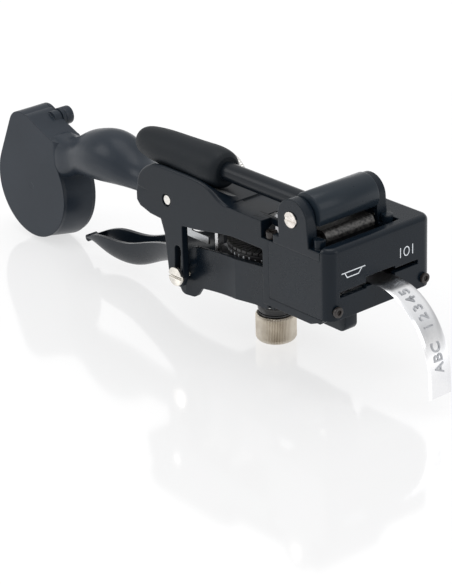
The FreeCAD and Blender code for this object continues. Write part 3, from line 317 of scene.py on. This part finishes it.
def turned(name, profile, sides, centre, axis, look, body, ripple=None, smooth=35):
    """A turned piece from (radius, along) pairs in mm; ripple(angle, row) adds to the radius."""
    verts = []
    for row, (radius, along) in enumerate(profile):
        for side in range(sides):
            angle = 2 * math.pi * side / sides
            r = radius + (ripple(side, row) if ripple else 0)
            across = (r * math.cos(angle), r * math.sin(angle))
            if axis == "Z":
                local = (across[0], across[1], along)
            else:
                local = (across[0], along, across[1])
            verts.append(spot(*(c + d for c, d in zip(centre, local))))
    faces = []
    for row in range(len(profile) - 1):
        for side in range(sides):
            following = (side + 1) % sides
            quad = (
                row * sides + side,
                row * sides + following,
                (row + 1) * sides + following,
                (row + 1) * sides + side,
            )
            faces.append(quad if axis == "Z" else quad[::-1])
    return add_mesh(name, verts, faces, look, body, smooth)


def tube(name, points, radius, look, body, sides=8):
    """A closed round wire through points in the row frame, in metres."""
    verts = []
    side_way = None
    for i, here in enumerate(points):
        before = points[max(i - 1, 0)]
        after = points[min(i + 1, len(points) - 1)]
        along = (after - before).normalized()
        if side_way is None:
            side_way = along.orthogonal().normalized()
        side_way = (side_way - along * side_way.dot(along)).normalized()
        up_way = along.cross(side_way)
        for k in range(sides):
            angle = 2 * math.pi * k / sides
            offset = side_way * math.cos(angle) + up_way * math.sin(angle)
            verts.append(here + offset * radius)
    faces = []
    for i in range(len(points) - 1):
        for k in range(sides):
            following = (k + 1) % sides
            faces.append((i * sides + k, i * sides + following,
                          (i + 1) * sides + following, (i + 1) * sides + k))
    faces.append(tuple(range(sides))[::-1])
    last = (len(points) - 1) * sides
    faces.append(tuple(range(last, last + sides)))
    return add_mesh(name, verts, faces, look, body, 60)


# ---------------------------------------------------------------- knob, collar and feed wheel

WHEEL_X = -63.0
FLOOR_Z = -46.6
KNOB_TEETH = 76


def knob_ripple(rows):
    """Fine straight knurling on the given rows of a turned profile."""
    def ripple(side, row):
        return (-0.5, -0.16, 0.0, -0.16)[side % 4] if row in rows else 0.0
    return ripple


KNOB_PROFILE = [
    (0.0, FLOOR_Z),
    (6.4, FLOOR_Z),
    (7.1, FLOOR_Z + 0.10),
    (7.7, FLOOR_Z + 0.45),
    (8.2, FLOOR_Z + 0.95),
    (8.6, FLOOR_Z + 1.7),
    (8.6, -35.3),
    (8.3, -34.85),
    (8.0, -34.55),
    (7.7, -34.5),
    (3.0, -34.5),
]
knob = turned("selector_knob_knurled", KNOB_PROFILE, KNOB_TEETH * 4, (WHEEL_X, 0, 0), "Z",
              LOOKS["knob_nickel"], "wheel_body",
              knob_ripple((4, 5, 6, 7)), smooth=24)
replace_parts(knob, "selector_knob")

COLLAR_PROFILE = [
    (3.0, -34.5), (7.0, -34.5), (7.4, -34.2), (7.45, -33.6), (7.1, -33.3), (7.1, -32.8),
    (7.5, -32.5), (7.6, -32.1), (7.6, -30.9), (7.45, -30.5), (7.1, -30.3), (3.0, -30.3),
]
collar = turned("knob_collar_turned", COLLAR_PROFILE, 96, (WHEEL_X, 0, 0), "Z",
                LOOKS["collar_black"], "wheel_body")
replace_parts(collar, "knob_collar")
RING_PROFILE = [
    (6.25, -30.28), (7.05, -30.28), (7.2, -30.15), (7.2, -29.95), (7.05, -29.85),
    (6.25, -29.85), (6.25, -30.28),
]
turned("knob_ring", RING_PROFILE, 96, (WHEEL_X, 0, 0), "Z", RING_NICKEL, "wheel_body")

FEED = (-97.6, 0.0, 13.3)
FEED_TEETH = 64


def feed_ripple(side, row):
    """Fine teeth across the feed wheel's rim, crossed by shallow grooves."""
    if not 2 <= row <= 27:
        return 0.0
    tooth = (-0.46, -0.12, 0.0, -0.12)[side % 4]
    return tooth - (0.14 if row % 3 == 0 else 0.0)


FEED_PROFILE = [(2.1, -7.0), (11.9, -7.0), (12.4, -6.6)]
FEED_PROFILE += [(12.55, -6.3 + 12.6 * i / 23) for i in range(24)]
FEED_PROFILE += [(12.4, 6.6), (11.9, 7.0), (2.1, 7.0), (2.1, -7.0)]
feed = turned("feed_wheel_knurled", FEED_PROFILE, FEED_TEETH * 4, FEED, "Y",
              LOOKS["feed_nickel"], "feed_body", feed_ripple, smooth=20)
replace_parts(feed, "feed_wheel")


# ---------------------------------------------------------------- springs

def coil_points(x, y, low, high, radius, turns, per_turn=20):
    """A compression spring's centre line, with closed ends."""
    points = []
    count = int(turns * per_turn)
    for i in range(count + 1):
        share = i / count
        eased = min(max((share - 0.12) / 0.76, 0), 1)
        angle = 2 * math.pi * turns * share
        points.append(spot(x + radius * math.cos(angle), y + radius * math.sin(angle),
                           low + (high - low) * (0.06 * min(share / 0.12, 1)
                                                 + 0.88 * eased
                                                 + 0.06 * max((share - 0.88) / 0.12, 0))))
    return points


lever_coil = tube("lever_spring_coil", coil_points(-76.0, 0, -19.7, -8.2, 3.4, 6.5),
                  0.5 * MM, LOOKS["spring_steel"], "housing")
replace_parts(lever_coil, "lever_spring")
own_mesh(lever_coil)
for spring_name, spring_y in (("near", -15.4), ("far", 15.4)):
    ram_coil = tube(f"ram_spring_coil_{spring_name}",
                    coil_points(-21.8, spring_y, -8.05, 12.0, 2.2, 9),
                    0.4 * MM, LOOKS["spring_steel"], "housing")
    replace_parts(ram_coil, "ram_springs")
    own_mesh(ram_coil)


# ---------------------------------------------------------------- strip of tape

def strip_route():
    """The strip's middle line as (x, z) in mm, closely spaced."""
    route = [(-11.0 + i * 0.7, 0.0) for i in range(21)]
    for i in range(1, 91):
        turn = math.radians(i)
        route.append((3.0 + 29.0 * math.sin(turn), -33.0 * (1 - math.cos(turn))))
    route += [(32.0 + 0.4 * i / 8, -33.0 - 6.6 * i / 8) for i in range(1, 9)]
    return route


ROUTE = strip_route()
REACH = [0.0]
for (x0, z0), (x1, z1) in zip(ROUTE, ROUTE[1:]):
    REACH.append(REACH[-1] + math.hypot(x1 - x0, z1 - z0))


def along_strip(distance):
    """Place and outward direction at a distance along the strip."""
    distance = min(max(distance, 0.0), REACH[-1])
    i = next((k for k in range(1, len(REACH)) if REACH[k] >= distance), len(REACH) - 1)
    share = (distance - REACH[i - 1]) / (REACH[i] - REACH[i - 1])
    (x0, z0), (x1, z1) = ROUTE[i - 1], ROUTE[i]
    here = (x0 + (x1 - x0) * share, z0 + (z1 - z0) * share)
    before = ROUTE[max(i - 2, 0)]
    after = ROUTE[min(i + 1, len(ROUTE) - 1)]
    length = math.hypot(after[0] - before[0], after[1] - before[1])
    out = (-(after[1] - before[1]) / length, (after[0] - before[0]) / length)
    return here, out


def on_strip(distance, across, height):
    """A point a height above the strip's middle surface."""
    (x, z), (nx, nz) = along_strip(distance)
    return spot(x + nx * height, across, z + nz * height)


def make_strip():
    """The strip itself, slightly dished across its width, with a clean cut end."""
    rows = [i * REACH[-1] / 110 for i in range(111)]
    columns = [-6.0, -5.9, -4.0, -2.0, 0.0, 2.0, 4.0, 5.9, 6.0]
    verts = []
    for side in (1, -1):
        for distance in rows:
            for across in columns:
                edge = 0.05 if abs(across) > 5.95 else 0.0
                verts.append(on_strip(distance, across, side * (HALF_TAPE - edge)))
    wide = len(columns)
    top = len(rows) * wide
    faces = []
    for r in range(len(rows) - 1):
        for c in range(wide - 1):
            a = r * wide + c
            faces.append((a, a + wide, a + wide + 1, a + 1))
            faces.append((top + a, top + a + 1, top + a + wide + 1, top + a + wide))
        for c in (0, wide - 1):
            a = r * wide + c
            quad = (a, top + a, top + a + wide, a + wide)
            faces.append(quad if c == 0 else quad[::-1])
    for r in (0, len(rows) - 1):
        for c in range(wide - 1):
            a = r * wide + c
            quad = (a, a + 1, top + a + 1, top + a)
            faces.append(quad if r == 0 else quad[::-1])
    return add_mesh("embossed_strip_sheet", verts, faces, LOOKS["tape_metal"], "housing",
                    50)


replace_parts(make_strip(), "embossed_strip")


def text_mesh(words, height, extrude, bevel, resolution=4):
    """Plain letters as a mesh, lying in the local XY plane; lengths in mm."""
    curve = bpy.data.curves.new("letters", "FONT")
    curve.body = words
    curve.size = height * 1.38
    curve.extrude = extrude
    curve.bevel_depth = bevel
    curve.bevel_resolution = 2
    curve.resolution_u = resolution
    curve.align_x = "CENTER"
    obj = bpy.data.objects.new("letters", curve)
    bpy.context.scene.collection.objects.link(obj)
    made = bpy.data.meshes.new_from_object(
        obj.evaluated_get(bpy.context.evaluated_depsgraph_get()))
    bpy.data.objects.remove(obj)
    return made


STRIP_WORDS = "ABC 12345"
FIRST_LETTER = 57.5
LETTER_PITCH = 4.25
for place, letter in enumerate(STRIP_WORDS):
    if letter == " ":
        continue
    pressed = text_mesh(letter, 4.6, 0.13, 0.07)
    middle = FIRST_LETTER - LETTER_PITCH * place
    for vertex in pressed.vertices:
        x, y, z = vertex.co
        vertex.co = on_strip(middle - x, 2.2 - y, HALF_TAPE + 0.16 + z)
    # painted shade: the letters take the darker metal so their relief reads as shaded
    add_made(f"embossed_letter_{place}", pressed, LETTER_METAL_PAINTED_SHADE, "housing", 60)


# ---------------------------------------------------------------- marks on the nose and roof

def ribbon(name, points, width, plane, level, look, body, closed=False):
    """A flat painted line; plane "front" takes (y, z) points, plane "top" takes (x, y)."""
    verts = []
    faces = []
    count = len(points)
    for i, point in enumerate(points):
        here = Vector(point)
        before = Vector(points[i - 1]) if closed or i else here
        after = Vector(points[(i + 1) % count]) if closed or i < count - 1 else here
        back = (here - before).normalized() if (here - before).length else None
        ahead = (after - here).normalized() if (after - here).length else None
        back = back or ahead
        ahead = ahead or back
        mean = (back + ahead).normalized()
        side = Vector((-mean.y, mean.x))
        reach = width / 2 / max(side.dot(Vector((-ahead.y, ahead.x))), 0.4)
        for sign in (1, -1):
            flat = here + side * reach * sign
            for lift in (0.0, 0.04):
                if plane == "front":
                    verts.append(spot(level - 0.03 + lift, flat.x, flat.y))
                else:
                    verts.append(spot(flat.x, flat.y, level - 0.03 + lift))
    last = count if closed else count - 1
    for i in range(last):
        a = i * 4
        b = (i + 1) % count * 4
        faces.append((a + 1, b + 1, b + 3, a + 3))
        faces.append((a, a + 2, b + 2, b))
        faces.append((a, b, b + 1, a + 1))
        faces.append((a + 2, a + 3, b + 3, b + 2))
    if not closed:
        end = (count - 1) * 4
        faces.append((0, 1, 3, 2))
        faces.append((end, end + 2, end + 3, end + 1))
    return add_mesh(name, verts, faces, look, body, 30)


MARK = 0.42
ribbon("mark_tab_line", [(-21.6, 8.6), (-8.9, 8.6)], MARK, "front", 0, WHITE_MARK, "housing")
ribbon("mark_tab_tray", [(-19.9, 8.5), (-18.6, 6.4), (-12.6, 6.4), (-10.7, 8.5)], MARK, "front",
       0, WHITE_MARK, "housing")
for bar_name, bar_y in (("left", 10.2), ("right", 16.9)):
    ribbon(f"mark_hole_{bar_name}", [(bar_y, 5.9), (bar_y, 10.1)], MARK, "front", 0, WHITE_MARK,
           "housing")
ribbon("mark_hole_ring",
       [(13.55 + 1.45 * math.cos(math.radians(a)), 7.9 + 1.85 * math.sin(math.radians(a)))
        for a in range(0, 360, 15)],
       MARK, "front", 0, WHITE_MARK, "housing", closed=True)


ROOF = 21.2
for mark_name, mark_points, mark_width in (
    ("roof_joint", [(-60.2, -26.9), (-60.2, 1.0)], 0.22),
    ("roof_pointer_long", [(-47.0, -21.3), (-35.4, -21.3)], 0.5),
    ("roof_pointer_short", [(-43.6, -22.6), (-35.4, -22.6)], 0.4),
    ("roof_tick_1", [(-45.6, -26.2), (-44.6, -24.3)], 0.5),
    ("roof_tick_2", [(-43.7, -26.2), (-42.7, -24.3)], 0.5),
    ("roof_tick_3", [(-41.8, -26.2), (-40.8, -24.3)], 0.5),
):
    ribbon(mark_name, mark_points, mark_width, "top", ROOF, ENGRAVED, "housing")


# ---------------------------------------------------------------- character wheel

def make_wheel():
    """Thin sprung fingers over a black disc, with a light character on each finger's edge."""
    fingers = 44
    ring = turned(
        "wheel_disc_turned",
        [(3.0, -4.6), (18.9, -4.6), (19.4, -4.3), (19.5, -3.9), (19.5, -2.4), (19.2, -2.1),
         (17.0, -2.0), (12.0, -1.8), (8.0, -0.9), (3.0, -0.7), (3.0, -4.6)],
        176, (WHEEL_X, 0, 0), "Z", LOOKS["wheel_black"], "wheel_body")
    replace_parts(ring, "character_wheel")
    verts = []
    faces = []
    for i in range(fingers):
        turn = Matrix.Rotation(2 * math.pi * i / fingers, 3, "Z")
        base = len(verts)
        for r, half, low, high in ((11.0, 0.62, -1.55, -0.95), (18.0, 1.05, -1.75, -0.95),
                                   (19.35, 1.1, -1.75, -0.62)):
            for y, z in ((-half, low), (half, low), (half, high), (-half, high)):
                local = turn @ Vector((r, y, z))
                verts.append(spot(WHEEL_X + local.x, local.y, local.z))
        for step in (0, 4):
            a = base + step
            for k in range(4):
                n = (k + 1) % 4
                faces.append((a + k, a + n, a + n + 4, a + k + 4))
        faces.append((base + 3, base + 2, base + 1, base))
        faces.append((base + 8, base + 9, base + 10, base + 11))
    add_mesh("wheel_fingers", verts, faces, LOOKS["wheel_black"], "wheel_body",
             30)
    signs = "ABCDEFGHIJKLMNOPQRSTUVWXYZ0123456789-+/.,&():"
    joined = bmesh.new()
    for i in range(fingers):
        letter = text_mesh(signs[i % len(signs)], 1.15, 0.02, 0.0, 2)
        turn = Matrix.Rotation(2 * math.pi * i / fingers, 3, "Z")
        for vertex in letter.vertices:
            x, y, z = vertex.co
            local = turn @ Vector((19.5 + z, x, -3.9 + y))
            vertex.co = spot(WHEEL_X + local.x, local.y, local.z)
        joined.from_mesh(letter)
        bpy.data.meshes.remove(letter)
    mesh = bpy.data.meshes.new("wheel_characters")
    joined.to_mesh(mesh)
    joined.free()
    add_made("wheel_characters", mesh, WHITE_MARK, "wheel_body", 30)


make_wheel()


# ---------------------------------------------------------------- rounded CAD pieces

for soft_name, soft_width in (
    ("foot_block", 0.5),
    ("lever_hub", 0.7),
    ("strap_screws", 0.3),
    ("lever_shaft", 0.2),
    ("cover_screws", 0.35),
    ("corner_screws", 0.35),
    ("lid_knuckle", 0.6),
):
    softened(soft_name, soft_width)


# ---------------------------------------------------------------- camera, floor and light

CAMERA_RIGHT = Vector((0.6555, 0.7547, -0.0275)).normalized()
CAMERA_BACK = Vector((0.6966, -0.5902, 0.4080)).normalized()
CAMERA_SPOT = spot(643.3, -625.2, 396.4)
FRAME_HEIGHT = 584
FOCAL_PIXELS = 2500.0

lens = bpy.data.cameras.new("camera")
lens.sensor_fit = "AUTO"
lens.sensor_width = 36.0
lens.lens = FOCAL_PIXELS / FRAME_HEIGHT * lens.sensor_width
lens.clip_start = 0.02
lens.clip_end = 50.0
camera = bpy.data.objects.new("camera", lens)
up = CAMERA_BACK.cross(CAMERA_RIGHT)
camera.matrix_world = Matrix.Translation(CAMERA_SPOT) @ Matrix((
    (CAMERA_RIGHT.x, up.x, CAMERA_BACK.x, 0),
    (CAMERA_RIGHT.y, up.y, CAMERA_BACK.y, 0),
    (CAMERA_RIGHT.z, up.z, CAMERA_BACK.z, 0),
    (0, 0, 0, 1),
))
bpy.context.scene.collection.objects.link(camera)
bpy.context.scene.camera = camera

floor_look = material("floor_white", (0.235, 0.235, 0.240), (0.245, 0.245, 0.245),
                      (0.07, 0.10), patch=2.0, grain=30, relief=0.0,
                      sockets={"IOR": 2.0, "Emission Color": (1.0, 1.0, 1.0, 1.0),
                               "Emission Strength": 0.65})
floor_mesh = bpy.data.meshes.new("studio_floor")
FLOOR_HALF = 8.0
floor_mesh.from_pydata(
    [(-FLOOR_HALF, -FLOOR_HALF, 0), (FLOOR_HALF, -FLOOR_HALF, 0), (FLOOR_HALF, FLOOR_HALF, 0),
     (-FLOOR_HALF, FLOOR_HALF, 0)], [], [(0, 1, 2, 3)])
floor_mesh.materials.append(floor_look)
floor = bpy.data.objects.new("studio_floor", floor_mesh)
bpy.context.scene.collection.objects.link(floor)


def softbox(name, where, target, width, height, power, tint=(1, 1, 1)):
    """A rectangular studio light that faces a target."""
    lamp = bpy.data.lights.new(name, "AREA")
    lamp.shape = "RECTANGLE"
    lamp.size = width
    lamp.size_y = height
    lamp.energy = power
    lamp.color = tint
    obj = bpy.data.objects.new(name, lamp)
    obj.location = where
    obj.rotation_euler = (Vector(target) - Vector(where)).to_track_quat("-Z", "Y").to_euler()
    bpy.context.scene.collection.objects.link(obj)
    return obj


softbox("top_light", (-0.1, 0.1, 1.5), (0, 0, 0), 1.0, 0.8, 5.0)
softbox("left_light", (-0.9, -1.1, 0.9), (-0.05, 0, 0.04), 0.7, 0.9, 6.0)
softbox("right_light", (1.3, 0.5, 0.8), (0.05, 0, 0.04), 0.5, 0.8, 2.5)


def studio_world():
    """White surround; reflections see it dimmer between the horizon and overhead."""
    world = bpy.data.worlds.new("studio")
    bpy.context.scene.world = world
    world.use_nodes = True
    tree = world.node_tree
    tree.nodes.clear()
    out = tree.nodes.new("ShaderNodeOutputWorld")
    white = tree.nodes.new("ShaderNodeBackground")
    white.inputs["Strength"].default_value = 1.02
    white.inputs["Color"].default_value = (1, 1, 1, 1)
    seen = tree.nodes.new("ShaderNodeBackground")
    where = tree.nodes.new("ShaderNodeTexCoord")
    split = tree.nodes.new("ShaderNodeSeparateXYZ")
    ramp = tree.nodes.new("ShaderNodeValToRGB")
    stops = [(0.0, 1.0), (0.10, 0.95), (0.28, 0.55), (0.45, 0.6), (0.62, 0.85), (1.0, 1.1)]
    ramp.color_ramp.elements[0].position = 0.0
    ramp.color_ramp.elements[1].position = 1.0
    for place, _ in stops[1:-1]:
        ramp.color_ramp.elements.new(place)
    for element, (place, value) in zip(ramp.color_ramp.elements, stops):
        element.position = place
        element.color = (value, value, value, 1)
    path = tree.nodes.new("ShaderNodeLightPath")
    mix = tree.nodes.new("ShaderNodeMixShader")
    tree.links.new(where.outputs["Generated"], split.inputs["Vector"])
    tree.links.new(split.outputs["Z"], ramp.inputs["Fac"])
    tree.links.new(ramp.outputs["Color"], seen.inputs["Color"])
    tree.links.new(path.outputs["Is Glossy Ray"], mix.inputs["Fac"])
    tree.links.new(white.outputs["Background"], mix.inputs[1])
    tree.links.new(seen.outputs["Background"], mix.inputs[2])
    tree.links.new(mix.outputs["Shader"], out.inputs["Surface"])


studio_world()
bpy.context.scene.view_settings.view_transform = "Standard"
